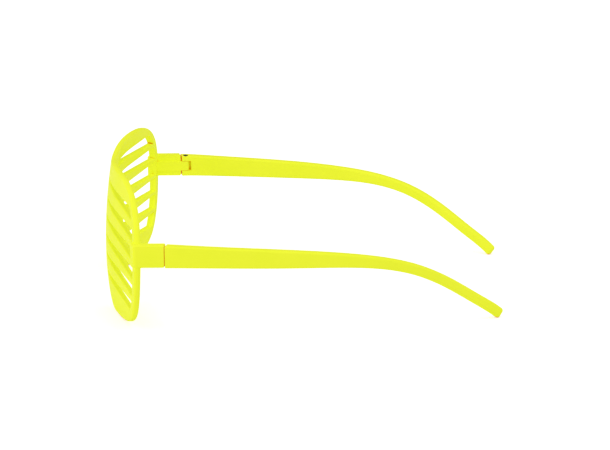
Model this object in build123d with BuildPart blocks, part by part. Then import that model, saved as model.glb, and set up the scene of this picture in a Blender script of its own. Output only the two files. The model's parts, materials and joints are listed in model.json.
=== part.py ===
from build123d import *
import math
import os

# Slatted novelty glasses: one moulded front with slats where lenses would be, two moulded
# temples, and two small hinge screws. Millimetres.
# X runs across the face, with the wearer's left at +X. The face looks towards -Y, the
# temples run back to +Y, and Z is up. The open glasses stand on the plane Z = 0, and the
# origin is on that plane, under the middle of the whole object.

# Overall sizes
front_width = 141.0          # rim to rim, across the face
front_height = 55.9
front_sweep = 26.8           # from the hinge seam forward to the top of the wall's bend
temple_reach = 129.6         # from the hinge seam back to the middle of the temple's end
overrun = 2.0                # how far every cutting shape runs past what it cuts

# The curved wall of the front
bow_radius = 125.0           # seen from above, in the middle of the face
bow_half_width = 34.3        # half the width of that bend; outside it the wall is straight
lean_radius = 223.2          # seen from the side
lean_level = 18.3            # height of the foremost point of the side curve
rim_depth = 2.4              # thickness of the whole wall, rim and slats
rim_round = 0.9              # rounding of the rim's outer edges
rim_width = 2.3              # from the outline in to the slats, at the top and the bottom
rim_side_width = 4.0         # the same at the side
bridge_width = 21.2          # solid wall between the two slatted openings
opening_round = 3.0          # corner radius of the openings
inset_stations = 24          # points that carry the outline in to the opening, on each half

# The outline of one half of the front, from the top of the bridge round to the nose arch,
# as shares of half the front's width and of its height
outline_shares = [
    (0.0, 0.976),
    (0.21, 0.994),
    (0.46, 1.0046),
    (0.735, 0.948),
    (0.9113, 0.803),
    (0.999, 0.536),
    (0.965, 0.234),
    (0.885, 0.108),
    (0.745, 0.032),
    (0.5, 0.0),
    (0.41, 0.0095),
    (0.318, 0.081),
    (0.2021, 0.274),
    (0.118, 0.5),
    (0.0, 0.672),
]

# Slats
gap_count = 6                # gaps between slats, in each opening
gap_top = 48.71              # upper lip of the topmost gap
slat_pitch = 7.119
gap_height_middle = 0.05     # of a gap, if it ran on to the middle of the bridge
gap_height_wing = 4.98       # at the outer end of the wall's line; both at the front lips
upper_flare = 0.81           # how much a gap's upper side opens towards the back
lower_flare = 0.48           # and its lower side
slat_lip_round = 0.5         # front edges of a slat
slat_back_round = 0.45       # back edges of a slat
blend_lead = 0.06            # a rounded edge starts this far off its face, and so meets it cleanly

# Moulded nose pads, on the back of the wall beside the nose arch
pad_proud = 3.2              # how far they stand behind the wall
pad_length = 15.0
pad_width = 3.6
pad_lean = 18.0              # degrees from upright
pad_round = 1.2
pad_centre_share = (0.172, 0.385)

# End pieces that turn back from the rim to the hinges
end_proud = 0.5              # outer face, beyond the rim
end_bottom = 28.55
end_height = 8.95
end_thickness = 3.3
end_front_proud = 0.8        # front face, before the rim
end_block_width = 5.0        # of the end piece's root on the rim
end_corner_round = 1.4       # where it turns the corner
end_root_round = 1.5         # under the end piece, against the rim
edge_round = 0.6             # long edges of the end pieces and temples
seam_gap = 0.25              # between an end piece and its temple, at their outer faces
end_face_slant = 9.0         # degrees, by which the end piece's end face leans back inwards
temple_face_slant = 14.0     # the same on the temple, so that the seam opens inwards
seam_round = 0.25            # edges of the temple's end at the seam

# Hinges: a tongue on the end piece in a fork at the front of the temple
hinge_level = 32.775         # middle height of the tongue and of the temple's front end
axis_inset = 2.5             # from the outer face in to the hinge axis
axis_setback = 2.4           # from the seam back to the hinge axis
tongue_radius = 1.4          # half the tongue's thickness, and the round at its end
tongue_height = 3.9
fork_clearance = 0.12        # above, below and outside the tongue
fork_end_gap = 1.0           # behind the tongue's round end
screw_clearance = 0.05       # round the screw's shank, in the tongue and the upper ear
thread_clearance = 0.01      # round its thread, in the ear that the thread holds in
thread_floor = 0.75          # solid left beyond the end of the threaded hole

# Hinge screws
shank_radius = 0.6
thread_radius = 0.65
head_radius = 1.05
head_height = 0.55
head_seat_clearance = 0.1
head_sink = 0.1              # the head lies this far inside the ear's face
head_round = 0.18
drive_slot_width = 0.35
drive_slot_depth = 0.25
screw_tip_gap = 0.2          # the tip stops this far from the end of its hole
screw_tip_chamfer = 0.2

# Temples
temple_height = 8.8          # at the front end
temple_thickness = 4.1
temple_tip_thickness = 3.1
temple_tip_height = 4.3
temple_lead = 1.0            # the temple's line starts this far before the seam
temple_drop = 31.6           # from the hinge's middle height down to the tip's
temple_draw_in = 24.9        # how far the tip lies nearer to the middle than the hinge
temple_section_round = 1.3
tip_round = 1.25

# Stations along the temple: share of the reach, share of the draw-in, share of the drop,
# share of the way from full height to tip height
temple_shares = [
    (0.0, 0.0, 0.0, 0.0),
    (0.0835, -0.014, 0.0097, 0.10),
    (0.229, 0.012, 0.0363, 0.25),
    (0.3745, 0.060, 0.0635, 0.42),
    (0.521, 0.145, 0.0999, 0.70),
    (0.6259, 0.242, 0.1513, 0.90),
    (0.7387, 0.410, 0.2768, 1.0),
    (0.8486, 0.650, 0.5259, 1.0),
    (0.9258, 0.826, 0.7576, 1.0),
    (1.0, 1.0, 1.0, 1.0),
]


def bow_depth(x):
    """How far the curved middle of the wall lies behind its foremost line."""
    return bow_radius - math.sqrt(bow_radius**2 - x**2)


def lean_depth(z):
    """How far the front face lies behind its foremost line, at a height."""
    return lean_radius - math.sqrt(lean_radius**2 - (z - lean_level) ** 2)


def temple_offset(back, drawn, dropped, slimmed):
    """A station of the temple's middle line, from that line's level at the seam."""
    run = back * (temple_reach + temple_lead) - temple_lead
    return Vector(-drawn * temple_draw_in, run, -dropped * temple_drop)


# The outline of the front, X across and Y up
outline_points = [
    (across * front_width / 2, up * front_height) for across, up in outline_shares
]
with BuildLine() as outline:
    Spline(*outline_points, tangents=[(1, 0), (-1, 0)])
    mirror(about=Plane.YZ)

half_outline = outline.edges().sort_by(Axis.X)[-1]


def inset_point(station, width):
    """A point of the left half of the outline, carried in by a width."""
    heading = half_outline.tangent_at(station / inset_stations)
    inward = Vector(heading.Y, -heading.X)
    return half_outline.position_at(station / inset_stations) + inward * width


# The outline carried in by the width of the rim
inset_points = []
for station in range(inset_stations + 1):
    heading = half_outline.tangent_at(station / inset_stations)
    width = rim_width + (rim_side_width - rim_width) * heading.Y**2
    inset_points.append(inset_point(station, width))

# Where the seam lies, with the origin under the middle of the whole object. The foremost
# point is beside the nose arch, where the edge's rounding ends, and the rearmost is at the
# upper corner of the temple's end.
foremost_depth = min(
    bow_depth(point.X) + lean_depth(point.Y)
    for point in (inset_point(station, rim_round) for station in range(inset_stations + 1))
)
temple_ends = [temple_offset(*station) for station in temple_shares[-2:]]
tip_heading = (temple_ends[1] - temple_ends[0]).normalized()
tip_level = math.hypot(tip_heading.X, tip_heading.Y)
tip_up = -tip_heading.Z * tip_heading.Y / tip_level
tip_across = -tip_heading.X / tip_level
tip_overhang = (
    (temple_tip_height / 2 - tip_round) * tip_up
    + (temple_tip_thickness / 2 - tip_round) * tip_across
    + tip_round * (1 - tip_heading.Y)
)
seam_y = (front_sweep - foremost_depth - temple_reach - tip_overhang) / 2
front_y = seam_y - front_sweep
outer_x = front_width / 2 + end_proud
axis_x = outer_x - axis_inset
axis_y = seam_y + axis_setback
tongue_bottom = hinge_level - tongue_height / 2
bow_rise = bow_depth(bow_half_width)
bow_angle = math.degrees(math.asin(bow_half_width / bow_radius))
wing_slope = bow_half_width / (bow_radius - bow_rise)
wing_half_width = front_width / 2 + overrun


def wing_y(x):
    """Front face of the straight part of the wall, at its foremost height."""
    return front_y + bow_rise + (x - bow_half_width) * wing_slope


# The line that the wall follows across the face
with BuildLine() as wall_line:
    Line((-wing_half_width, wing_y(wing_half_width)), (-bow_half_width, wing_y(bow_half_width)))
    ThreePointArc(
        (-bow_half_width, wing_y(bow_half_width)),
        (0, front_y),
        (bow_half_width, wing_y(bow_half_width)),
    )
    Line((bow_half_width, wing_y(bow_half_width)), (wing_half_width, wing_y(wing_half_width)))

# The half of it that the gaps on the wearer's left follow, from the middle outwards
with BuildLine() as gap_line:
    middle = CenterArc((0, front_y + bow_radius), bow_radius, -90, bow_angle)
    Line(middle @ 1, (wing_half_width, wing_y(wing_half_width)))

gap_path = gap_line.wires()[0]
# Planes across the wall: X is the depth behind the front face and Y is the height
right_plane = Plane(
    origin=(-wing_half_width, wing_y(wing_half_width), 0),
    x_dir=(wing_slope, 1, 0),
    z_dir=(1, -wing_slope, 0),
)
middle_plane = Plane(origin=gap_path @ 0, x_dir=(0, 1, 0), z_dir=(1, 0, 0))
left_plane = Plane(origin=gap_path @ 1, x_dir=(-wing_slope, 1, 0), z_dir=(1, wing_slope, 0))
# Seen from the front, at the seam: X across, Y up
elevation = Plane.XZ.offset(-seam_y)

# Everything that slats and gaps fill on the left half, as a block that runs through the wall
with BuildPart() as openings:
    with BuildSketch(elevation):
        with BuildLine():
            inset = Spline(*inset_points)
            Line(inset @ 1, inset @ 0)
        make_face()
        with Locations((0, front_height / 2)):
            Rectangle(bridge_width, front_height * 2, mode=Mode.SUBTRACT)
    extrude(amount=front_sweep + overrun)
    bridge_face = openings.faces().sort_by(Axis.X)[0]
    fillet(bridge_face.edges().filter_by(Axis.Y), opening_round)

# What is cut out between the slats on the left half. A gap grows from the bridge outwards.
gap_ends = []
for index in range(gap_count):
    upper_lip = gap_top - index * slat_pitch
    sections = []
    for plane, gap_height in ((middle_plane, gap_height_middle), (left_plane, gap_height_wing)):
        lips = ((upper_lip, 1, upper_flare), (upper_lip - gap_height, -1, lower_flare))
        fronts = []
        backs = []
        with BuildSketch(plane) as gap_section:
            with BuildLine():
                for lip_z, way, flare in lips:
                    flank_angle = math.atan2(flare, rim_depth - slat_lip_round)
                    lip_x = lean_depth(lip_z) - blend_lead
                    back_x = lean_depth(lip_z + way * flare) + rim_depth + blend_lead
                    turn_x = back_x - slat_back_round * (1 - math.sin(flank_angle))
                    front_line = Line(
                        (lip_x - overrun, lip_z + way * slat_lip_round),
                        (lip_x, lip_z + way * slat_lip_round),
                    )
                    lip = JernArc(front_line @ 1, (0, -way), slat_lip_round, way * 90)
                    rise = (turn_x - (lip @ 1).X) * math.tan(flank_angle)
                    flank = Line(lip @ 1, (turn_x, lip_z + way * rise))
                    turn_angle = 90 - math.degrees(flank_angle)
                    turn = JernArc(flank @ 1, flank % 1, slat_back_round, way * turn_angle)
                    inside = Line(turn @ 1, (back_x + overrun / 2, (turn @ 1).Y))
                    fronts.append(front_line @ 0)
                    backs.append(inside @ 1)
                Line(*fronts)
                Line(*backs)
            make_face()
        sections.append(gap_section.sketch.face())
    gap_ends.append(sections)

with BuildPart() as gaps:
    for sections in gap_ends:
        sweep(sections=sections, path=gap_path, multisection=True)
    add(openings.part, mode=Mode.INTERSECT)

# The end piece and hinge tongue of the wearer's left side
end_y = seam_y - seam_gap / 2
end_lean_back = end_thickness * math.tan(math.radians(end_face_slant))
end_front = lean_depth(hinge_level) - end_front_proud
inner_x = outer_x - end_thickness
root_x = outer_x - end_block_width
with BuildPart() as end_piece:
    with BuildSketch(Plane.XY.offset(end_bottom)) as end_plan:
        with BuildLine():
            Polyline(
                (outer_x, wing_y(outer_x) + end_front),
                (outer_x, end_y),
                (inner_x, end_y + end_lean_back),
                (inner_x, wing_y(inner_x) + rim_depth / 2),
                (root_x, wing_y(root_x) + rim_depth / 2),
                (root_x, wing_y(root_x) + end_front),
                close=True,
            )
        make_face()
        front_corner = end_plan.vertices().group_by(Axis.X)[-1].sort_by(Axis.Y)[0]
        fillet(front_corner, end_corner_round)
    extrude(amount=end_height)
    outer_face = end_piece.faces().sort_by(Axis.X)[-1]
    end_face = end_piece.faces().sort_by(Axis.Y)[-1]
    flat_edges = outer_face.edges().filter_by(Axis.Z, reverse=True)
    fillet(flat_edges + end_face.edges().filter_by(Axis.Z, reverse=True), edge_round)
    with BuildSketch(Plane.XY.offset(tongue_bottom)):
        rib_start = wing_y(axis_x) + rim_depth / 2
        with Locations((axis_x, (rib_start + axis_y) / 2)):
            Rectangle(2 * tongue_radius, axis_y - rib_start)
        with Locations((axis_x, axis_y)):
            Circle(tongue_radius)
            Circle(shank_radius + screw_clearance, mode=Mode.SUBTRACT)
    extrude(amount=tongue_height)
    with BuildSketch(Plane.YZ.offset(inner_x)):
        root_y = wing_y(inner_x) + rim_depth
        with BuildLine():
            hollow = JernArc(
                (root_y, end_bottom - end_root_round), (0, 1), end_root_round, -90
            )
            Polyline(
                hollow @ 1,
                (root_y - rim_depth / 2, end_bottom),
                (root_y - rim_depth / 2, end_bottom - end_root_round),
                hollow @ 0,
            )
        make_face()
    extrude(amount=end_thickness - end_proud)

# The whole front: wall, slats, nose pads and both end pieces in one moulding
pad_x = pad_centre_share[0] * front_width / 2
pad_z = pad_centre_share[1] * front_height
pad_back_y = front_y + bow_depth(pad_x) + rim_depth + pad_proud
with BuildPart() as front:
    with BuildSketch(right_plane):
        with Locations((lean_radius, lean_level)):
            Circle(lean_radius)
            Circle(lean_radius - rim_depth, mode=Mode.SUBTRACT)
        with Locations((0, front_height / 2)):
            Rectangle(lean_radius, front_height + 2 * overrun, mode=Mode.INTERSECT)
    sweep(path=wall_line.wires()[0])
    with BuildSketch(elevation):
        make_face(outline.edges())
    extrude(amount=front_sweep + overrun, mode=Mode.INTERSECT)
    side_faces = front.faces().filter_by(lambda face: abs(face.normal_at().Y) < 0.5)
    outline_edges = side_faces.edges().filter_by(lambda edge: abs((edge % 0.5).Y) < 0.7)
    fillet(outline_edges, rim_round)
    add(gaps.part, mode=Mode.SUBTRACT)
    mirror(gaps.part, about=Plane.YZ, mode=Mode.SUBTRACT)
    with BuildSketch(Plane.XZ.offset(-pad_back_y)):
        with Locations((pad_x, pad_z)):
            SlotOverall(pad_length, pad_width, rotation=90 + pad_lean)
        mirror(about=Plane.YZ)
    extrude(amount=pad_proud + rim_depth / 2)
    pad_faces = front.faces(Select.LAST).filter_by(Axis.Y).group_by(Axis.Y)[-1]
    fillet(pad_faces.edges(), pad_round)
    add(end_piece.part)
    mirror(end_piece.part, about=Plane.YZ)

# The left temple: sections along a line that runs back, then in and down to the tip. The
# line starts a little before the seam, and the slanting cut at the seam takes that off.
temple_start = Vector(outer_x - temple_thickness / 2, seam_y, hinge_level)
temple_points = [temple_start + temple_offset(*station) for station in temple_shares]
with BuildLine() as temple_line:
    Spline(*temple_points, tangents=[(0, 1, 0), tip_heading])
middle_line = temple_line.edges()[0]

fork_bottom = tongue_bottom - fork_clearance
fork_height = tongue_height + 2 * fork_clearance
fork_outer_x = axis_x + tongue_radius + fork_clearance
fork_inner_x = outer_x - temple_thickness - overrun
fork_back_y = axis_y + tongue_radius + fork_end_gap
fork_front_y = seam_y - overrun
temple_face_y = seam_y + seam_gap / 2
temple_face_slope = math.tan(math.radians(temple_face_slant))

with BuildPart() as temple_blank:
    for point, (back, drawn, dropped, slimmed) in zip(temple_points, temple_shares):
        ahead = middle_line.tangent_at(point)
        across = ahead.cross(Vector(0, 0, 1))
        height = temple_height + slimmed * (temple_tip_height - temple_height)
        thickness = temple_thickness + back * (temple_tip_thickness - temple_thickness)
        corner = edge_round + back * (temple_section_round - edge_round)
        with BuildSketch(Plane(origin=point, x_dir=across, z_dir=ahead)):
            RectangleRounded(thickness, height, corner)
    loft()
    tip_face = temple_blank.faces().sort_by(Axis.Y)[-1]
    fillet(tip_face.edges(), tip_round)
    with BuildSketch(Plane.XY.offset(hinge_level - temple_height / 2 - overrun)):
        with BuildLine():
            Polyline(
                (outer_x + overrun, temple_face_y - overrun * temple_face_slope),
                (fork_inner_x, temple_face_y + (outer_x - fork_inner_x) * temple_face_slope),
                (fork_inner_x, fork_front_y),
                (outer_x + overrun, fork_front_y),
                close=True,
            )
        make_face()
    extrude(amount=temple_height + 2 * overrun, mode=Mode.SUBTRACT)
    seam_face = temple_blank.faces().sort_by(Axis.Y)[0]
    fillet(seam_face.edges(), seam_round)
    with BuildSketch(Plane.XY.offset(fork_bottom)):
        with Locations(((fork_inner_x + fork_outer_x) / 2, (fork_front_y + fork_back_y) / 2)):
            Rectangle(fork_outer_x - fork_inner_x, fork_back_y - fork_front_y)
    extrude(amount=fork_height, mode=Mode.SUBTRACT)

# A hinge screw and the hole it needs in the temple, on the left hinge's axis, head upwards
head_top_z = hinge_level + temple_height / 2 - head_sink
head_seat_z = head_top_z - head_height
hole_end_z = hinge_level - temple_height / 2 + thread_floor
screw_tip_z = hole_end_z + screw_tip_gap
hinge_axis = Axis((axis_x, axis_y, 0), (0, 0, 1))
with BuildPart() as screw_hole:
    with BuildSketch(Plane.XZ.offset(-axis_y)):
        with BuildLine():
            Polyline(
                (axis_x, hole_end_z),
                (axis_x + thread_radius + thread_clearance, hole_end_z),
                (axis_x + thread_radius + thread_clearance, hinge_level),
                (axis_x + shank_radius + screw_clearance, hinge_level),
                (axis_x + shank_radius + screw_clearance, head_seat_z),
                (axis_x + head_radius + head_seat_clearance, head_seat_z),
                (axis_x + head_radius + head_seat_clearance, head_top_z + overrun),
                (axis_x, head_top_z + overrun),
                close=True,
            )
        make_face()
    revolve(axis=hinge_axis)

with BuildPart() as screw:
    with BuildSketch(Plane.XZ.offset(-axis_y)):
        with BuildLine():
            Polyline(
                (axis_x, screw_tip_z),
                (axis_x + thread_radius - screw_tip_chamfer, screw_tip_z),
                (axis_x + thread_radius, screw_tip_z + screw_tip_chamfer),
                (axis_x + thread_radius, fork_bottom - fork_clearance),
                (axis_x + shank_radius, fork_bottom),
                (axis_x + shank_radius, head_seat_z),
                (axis_x + head_radius, head_seat_z),
                (axis_x + head_radius, head_top_z),
                (axis_x, head_top_z),
                close=True,
            )
        make_face()
    revolve(axis=hinge_axis)
    head_edge = screw.edges().group_by(Axis.Z)[-1]
    fillet(head_edge, head_round)
    with BuildSketch(Plane.XY.offset(head_top_z)):
        with Locations((axis_x, axis_y)):
            Rectangle(drive_slot_width, 2 * head_radius + overrun)
    extrude(amount=-drive_slot_depth, mode=Mode.SUBTRACT)

# The right screw goes in from above, and the left one from below
hinge_plane = Plane.XY.offset(hinge_level)
with BuildPart() as temple_left:
    add(temple_blank.part)
    mirror(screw_hole.part, about=hinge_plane, mode=Mode.SUBTRACT)

with BuildPart() as temple_right:
    mirror(temple_blank.part, about=Plane.YZ)
    mirror(screw_hole.part, about=Plane.YZ, mode=Mode.SUBTRACT)

with BuildPart() as hinge_screw_left:
    mirror(screw.part, about=hinge_plane)

with BuildPart() as hinge_screw_right:
    mirror(screw.part, about=Plane.YZ)

front.part.label = "front"
temple_left.part.label = "temple_left"
temple_right.part.label = "temple_right"
hinge_screw_left.part.label = "hinge_screw_left"
hinge_screw_right.part.label = "hinge_screw_right"

os.makedirs("parts", exist_ok=True)
export_step(front.part, "parts/front.step")
export_step(temple_left.part, "parts/temple_left.step")
export_step(temple_right.part, "parts/temple_right.step")
export_step(hinge_screw_left.part, "parts/hinge_screw_left.step")
export_step(hinge_screw_right.part, "parts/hinge_screw_right.step")
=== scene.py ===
# %% [markdown]
# # Slatted novelty glasses
# A pair of moulded party glasses in one loud fluorescent yellow. The front is a single
# moulding whose two eye openings are filled with slats. Two arms, called temples, hang on
# small screwed hinges. The solids are ready made, so this lesson gives them their finishes,
# lights them on a white sheet, and frames the picture.
#
# The loaded parts sit in metres, and each part's place is in its mesh.

# %% Load the solids
import json
import math

import bpy
from mathutils import Matrix, Vector


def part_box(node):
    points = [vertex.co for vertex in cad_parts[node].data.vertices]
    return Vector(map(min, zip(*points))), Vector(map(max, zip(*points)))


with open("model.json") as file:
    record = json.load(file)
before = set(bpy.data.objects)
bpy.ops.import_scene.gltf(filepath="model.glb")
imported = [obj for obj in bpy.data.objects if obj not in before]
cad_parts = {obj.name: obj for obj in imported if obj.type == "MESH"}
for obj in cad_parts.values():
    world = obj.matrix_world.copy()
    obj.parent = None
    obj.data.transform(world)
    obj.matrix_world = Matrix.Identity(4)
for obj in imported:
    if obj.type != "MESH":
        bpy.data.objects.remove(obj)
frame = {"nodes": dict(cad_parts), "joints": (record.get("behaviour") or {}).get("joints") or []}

bpy.context.view_layer.update()
MM = 0.001
for name in sorted(frame["nodes"]):
    low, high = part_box(name)
    print(name, [round((b - a) / MM, 1) for a, b in zip(low, high)], "mm")

# %% [markdown]
# ## A helper for shader maths
# Finishes are built from small nodes. Placing each node by hand is slow to read, so one
# class wraps an output socket. Multiplying one of these by a number or by another one adds
# the Math node that does it, and one method places every other kind of node.

# %% The shader helper
class Wire:
    """One output socket in a material. A product of wires adds a Math node."""

    def __init__(self, tree, socket=None):
        self.tree = tree
        self.socket = socket

    def node(self, kind, settings, inputs, output=0):
        """Adds a node. Its settings come first, then a value or a wire for each input."""
        made = self.tree.nodes.new(kind)
        for name, value in settings.items():
            setattr(made, name, value)
        for key, value in inputs.items():
            if isinstance(value, Wire):
                self.tree.links.new(value.socket, made.inputs[key])
            else:
                made.inputs[key].default_value = value
        return Wire(self.tree, made.outputs[output])

    def calculate(self, operation, *values):
        """Adds a Math node that works on the values, each a number or a wire."""
        inputs = dict(enumerate(values))
        return self.node("ShaderNodeMath", {"operation": operation}, inputs)

    def __mul__(self, other):
        return self.calculate("MULTIPLY", self, other)

    __rmul__ = __mul__

    def stretched(self, low, high, new_low=0.0, new_high=1.0):
        """The same value with low to high spread over new_low to new_high, and held there."""
        spread = {"From Min": low, "From Max": high, "To Min": new_low, "To Max": new_high}
        return self.node("ShaderNodeMapRange", {}, {"Value": self, **spread})

    def blended(self, colour_a, colour_b):
        """From one colour to another, as this value goes from 0 to 1."""
        return self.node(
            "ShaderNodeMix",
            {"data_type": "RGBA"},
            {"Factor": self, 6: colour_a, 7: colour_b},
            output=2,
        )


print("a wire can be", [name for name in vars(Wire) if not name.startswith("_")])

# %% [markdown]
# ## Materials and screen colours
# A new material comes with one shader that does most of the work, so a finish only has to
# feed that shader's sockets. Colours are easiest to choose as a screen shows them, from 0
# to 255, but nodes count in linear light, where a middle grey is much less than half. A
# function turns the first into the second, so the finishes can name screen colours.

# %% Materials and colours
def new_material(name):
    """An empty material, the wire that starts its expressions, and its main shader."""
    material = bpy.data.materials.new(name)
    material.use_nodes = True
    shader = material.node_tree.nodes["Principled BSDF"]
    return material, Wire(material.node_tree), shader


def feed(start, shader, values):
    """Sets the shader's sockets: a number or colour as it is, or a link for a wire."""
    for name, value in values.items():
        if isinstance(value, Wire):
            start.tree.links.new(value.socket, shader.inputs[name])
        else:
            shader.inputs[name].default_value = value


def linear(red, green, blue):
    """A colour as a screen shows it, 0 to 255, turned into the linear light nodes use."""
    shares = [channel / 255 for channel in (red, green, blue)]
    bright = [s / 12.92 if s <= 0.04045 else ((s + 0.055) / 1.055) ** 2.4 for s in shares]
    return (*bright, 1.0)


print("a screen's 128 of 255 is", round(linear(128, 128, 128)[0], 3), "in linear light")

# %% [markdown]
# ## Fluorescent moulded plastic
# The plastic is coloured all through, and its dye turns blue light into green and yellow,
# so it looks brighter than paint and its shadows stay warm. Three things make that finish:
# a very saturated base colour, a painted glow (a little constant light of its own that
# stands in for the dye's fluorescence and lifts the shading), and painted shade in crevices,
# which drift to orange, because light that bounces there many times loses its green first.
# Slow flow clouds and a fine skin on the surface keep a large flat side from looking like
# paper. They could be painted on a picture, but noise that reads the place in the piece
# needs no unwrapping and never stretches.

# %% The plastic
PLASTIC_LIT = linear(244, 248, 62)
PLASTIC_DEEP = linear(238, 245, 56)
# Painted shade: the orange that crevices drift to, in the base colour and in the glow.
PLASTIC_PAINTED_SHADE = linear(228, 140, 20)
# Painted glow: constant emission that stands in for the dye's fluorescence and lifts the
# shading.
PAINTED_GLOW = linear(226, 245, 20)
PAINTED_SHADE_GLOW = linear(255, 125, 0)
PAINTED_GLOW_STRENGTH = 0.14
PAINTED_SHADE_REACH = 1.4 * MM
PAINTED_SHADE_SAMPLES = 8
PAINTED_SHADE_SPREAD = (0.12, 0.52)
FLOW_SCALE, FLOW_DETAIL, FLOW_SPREAD = 45.0, 3.0, (0.3, 0.7)
SKIN_SCALE, SKIN_DETAIL, SKIN_SPREAD = 2600.0, 2.0, (0.35, 0.65)
SKIN_HEIGHT = 0.004 * MM
SKIN_ROUGHNESS = (0.36, 0.44)
PLASTIC_IOR = 1.49
PLASTIC_SHINE = 0.03


def moulded_plastic(name):
    """Plastic with a painted glow, flow clouds, a fine skin and orange painted shade in
    crevices.
    """
    material, start, shader = new_material(name)
    place = start.node("ShaderNodeTexCoord", {}, {}, output="Object")
    flow = start.node(
        "ShaderNodeTexNoise",
        {},
        {"Vector": place, "Scale": FLOW_SCALE, "Detail": FLOW_DETAIL},
    )
    skin = start.node(
        "ShaderNodeTexNoise",
        {},
        {"Vector": place, "Scale": SKIN_SCALE, "Detail": SKIN_DETAIL},
    )
    open_share = start.node(
        "ShaderNodeAmbientOcclusion",
        {"samples": PAINTED_SHADE_SAMPLES, "only_local": False},
        {"Distance": PAINTED_SHADE_REACH},
        output="AO",
    )
    body = flow.stretched(*FLOW_SPREAD).blended(PLASTIC_DEEP, PLASTIC_LIT)
    # Painted shade from ambient occlusion: where little is open round a point, colour and glow
    # turn orange.
    painted_shade = open_share.stretched(*PAINTED_SHADE_SPREAD)
    colour = painted_shade.blended(PLASTIC_PAINTED_SHADE, body)
    bump = start.node(
        "ShaderNodeBump", {}, {"Height": skin, "Distance": SKIN_HEIGHT, "Strength": 1.0}
    )
    feed(start, shader, {
        "Base Color": colour,
        "Roughness": skin.stretched(*SKIN_SPREAD, *SKIN_ROUGHNESS),
        "Normal": bump,
        "IOR": PLASTIC_IOR,
        "Specular IOR Level": PLASTIC_SHINE,
        # Painted glow everywhere, turning to orange painted shade in crevices.
        "Emission Color": painted_shade.blended(PAINTED_SHADE_GLOW, PAINTED_GLOW),
        "Emission Strength": PAINTED_GLOW_STRENGTH,
    })
    return material


plastic = moulded_plastic("fluorescent_plastic")
for name in ("front", "temple_left", "temple_right"):
    frame["nodes"][name].material_slots[0].material = plastic
print("plastic on the front and both temples")

# %% [markdown]
# ## The hinge screws
# Each screw is turned from steel and blackened. Turning leaves fine rings round its axis.
# They could be cut into the mesh, but they are far finer than the picture shows, so a bump
# is enough: a wave of the distance from the axis. The axis of each screw is the hinge's
# own, which the frame gives.

# %% The screws
STEEL = linear(92, 90, 94)
STEEL_WORN = linear(140, 136, 132)
RING_PITCH = 0.09 * MM
RING_HEIGHT = 0.004 * MM
WEAR_SCALE, WEAR_SPREAD = 900.0, (0.4, 0.7)
STEEL_SPREAD, STEEL_ROUGHNESS = (0.3, 0.7), (0.3, 0.45)


def turned_steel(name, axis):
    """Dark steel with fine rings round the axis, worn a little lighter in places."""
    material, start, shader = new_material(name)
    place = start.node("ShaderNodeTexCoord", {}, {}, output="Object")
    centred = start.node(
        "ShaderNodeMapping", {}, {"Vector": place, "Location": (-axis[0], -axis[1], 0)}
    )
    flat = start.node(
        "ShaderNodeVectorMath",
        {"operation": "MULTIPLY"},
        {0: centred, 1: (1, 1, 0)},
    )
    reach = start.node("ShaderNodeVectorMath", {"operation": "LENGTH"}, {0: flat}, output=1)
    rings = start.calculate("SINE", reach * (math.tau / RING_PITCH))
    wear = start.node("ShaderNodeTexNoise", {}, {"Vector": place, "Scale": WEAR_SCALE})
    bump = start.node(
        "ShaderNodeBump", {}, {"Height": rings, "Distance": RING_HEIGHT, "Strength": 1.0}
    )
    feed(start, shader, {
        "Base Color": wear.stretched(*WEAR_SPREAD).blended(STEEL, STEEL_WORN),
        "Metallic": 1.0,
        "Roughness": wear.stretched(*STEEL_SPREAD, *STEEL_ROUGHNESS),
        "Normal": bump,
    })
    return material


for joint in frame["joints"]:
    side = joint["child"].split("_")[-1]
    steel = turned_steel("screw_steel_" + side, joint["pos_m"])
    frame["nodes"]["hinge_screw_" + side].material_slots[0].material = steel
    print(joint["name"], "axis at", [round(value / MM, 2) for value in joint["pos_m"]], "mm")

# %% [markdown]
# ## The floor
# The glasses stand on a white sheet. A plain white background would be simpler, but it
# would show no shadow. The sheet keeps their soft shadow, and a little light of its own,
# which only the camera sees, lifts the rest of it to the white of a studio picture.

# %% The white floor
FLOOR_HALF_SIZE = 4.0
FLOOR_WHITE = (0.93, 0.93, 0.93, 1.0)
FLOOR_ROUGHNESS = 0.9
FLOOR_LIFT = 0.45

bpy.ops.object.select_all(action="DESELECT")
bpy.ops.mesh.primitive_plane_add(size=2 * FLOOR_HALF_SIZE, location=(0, 0, 0))
floor = bpy.context.object
floor.name = "floor"
floor_material, start, shader = new_material("white_floor")
seen = start.node("ShaderNodeLightPath", {}, {}, output="Is Camera Ray")
lift = seen.blended((0, 0, 0, 1), (1, 1, 1, 1))
feed(start, shader, {
    "Base Color": FLOOR_WHITE,
    "Roughness": FLOOR_ROUGHNESS,
    "Specular IOR Level": 0.0,
    "Emission Color": lift,
    "Emission Strength": FLOOR_LIFT,
})
floor.data.materials.append(floor_material)
print("floor", [round(value, 1) for value in floor.dimensions[:2]], "m")

# %% [markdown]
# ## The light
# A wide soft lamp overhead and another in front of the face give the soft edges of a
# studio picture. An even white surround fills the rest, so that the plastic shows in about
# the colour it is given. It is dim where the plastic mirrors it, which keeps the yellow
# deep at the edges.

# %% The light
SURROUND = 0.66
SURROUND_IN_GLOSS = 0.1
KEY_SIZE, KEY_POWER, KEY_PLACE = 0.9, 3.3, (0.35, 0.25, 1.25)
FILL_SIZE, FILL_POWER, FILL_PLACE = 0.9, 4.2, (0.55, -1.4, 0.6)

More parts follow.
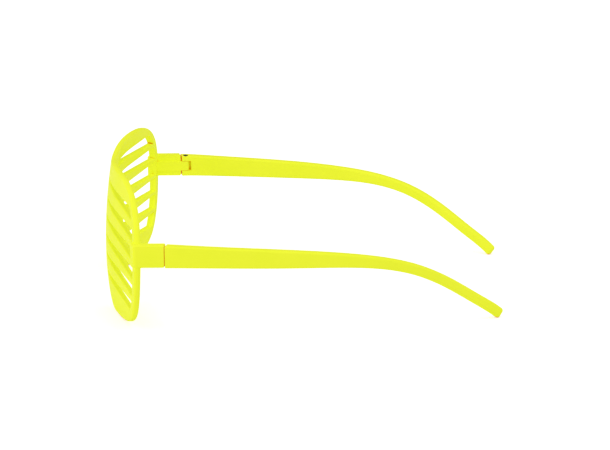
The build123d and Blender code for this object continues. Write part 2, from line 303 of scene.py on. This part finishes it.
world = bpy.data.worlds.new("white_surround")
bpy.context.scene.world = world
world.use_nodes = True
sky = Wire(world.node_tree)
sky_shader = world.node_tree.nodes["Background"]
paths = [
    sky.node("ShaderNodeLightPath", {}, {}, output=kind)
    for kind in ("Is Camera Ray", "Is Transmission Ray")
]
seen = sky.calculate("MAXIMUM", *paths)
in_gloss = sky.node("ShaderNodeLightPath", {}, {}, output="Is Glossy Ray")
strength = in_gloss.stretched(0, 1, SURROUND, SURROUND_IN_GLOSS)
strength = sky.calculate("MAXIMUM", strength, seen)
feed(sky, sky_shader, {"Color": (1, 1, 1, 1), "Strength": strength})


def soft_lamp(name, size, power, place):
    """A square lamp that faces the glasses."""
    data = bpy.data.lights.new(name, "AREA")
    data.size = size
    data.energy = power
    lamp = bpy.data.objects.new(name, data)
    bpy.context.scene.collection.objects.link(lamp)
    lamp.location = place
    lamp.rotation_euler = (-Vector(place)).to_track_quat("-Z", "Y").to_euler()


soft_lamp("key_lamp", KEY_SIZE, KEY_POWER, KEY_PLACE)
soft_lamp("fill_lamp", FILL_SIZE, FILL_POWER, FILL_PLACE)
print("lamps of", KEY_POWER, "and", FILL_POWER, "W, surround", SURROUND)

# %% [markdown]
# ## The camera
# The camera looks at the wearer's left side from far away through a long lens, a little
# from above. Its direction is given as an azimuth, 0 from in front and 90 from the
# wearer's left, and an elevation.

# %% The camera
PHOTO_WIDTH = 610
FOCAL_PIXELS = 3801.1
SENSOR = 36.0
CLIP_NEAR, CLIP_FAR = 0.05, 20.0
CAMERA_AZIMUTH = math.radians(90.823)
CAMERA_ELEVATION = math.radians(15.573)
CAMERA_ROLL = math.radians(-0.624)
CAMERA_DISTANCE = 1523.8 * MM
CAMERA_TARGET = Vector((0, 0.87, 25.53)) * MM

back = Vector((
    math.sin(CAMERA_AZIMUTH) * math.cos(CAMERA_ELEVATION),
    -math.cos(CAMERA_AZIMUTH) * math.cos(CAMERA_ELEVATION),
    math.sin(CAMERA_ELEVATION),
))
level = Vector((0, 0, 1)).cross(back).normalized()
upright = back.cross(level)
right = level * math.cos(CAMERA_ROLL) + upright * math.sin(CAMERA_ROLL)
up = back.cross(right)
camera_data = bpy.data.cameras.new("camera")
camera_data.sensor_width = SENSOR
camera_data.lens = SENSOR * FOCAL_PIXELS / PHOTO_WIDTH
camera_data.clip_start = CLIP_NEAR
camera_data.clip_end = CLIP_FAR
camera = bpy.data.objects.new("camera", camera_data)
bpy.context.scene.collection.objects.link(camera)
turn = Matrix((right, up, back)).transposed().to_4x4()
camera.matrix_world = Matrix.Translation(CAMERA_TARGET + back * CAMERA_DISTANCE) @ turn
bpy.context.scene.camera = camera
bpy.context.scene.view_settings.view_transform = "Standard"
print("camera", [round(value, 3) for value in camera.matrix_world.translation])

# %% [markdown]
# ## The end
# The scene is brought up to date. No shape was changed.

# %% The end
bpy.context.view_layer.update()
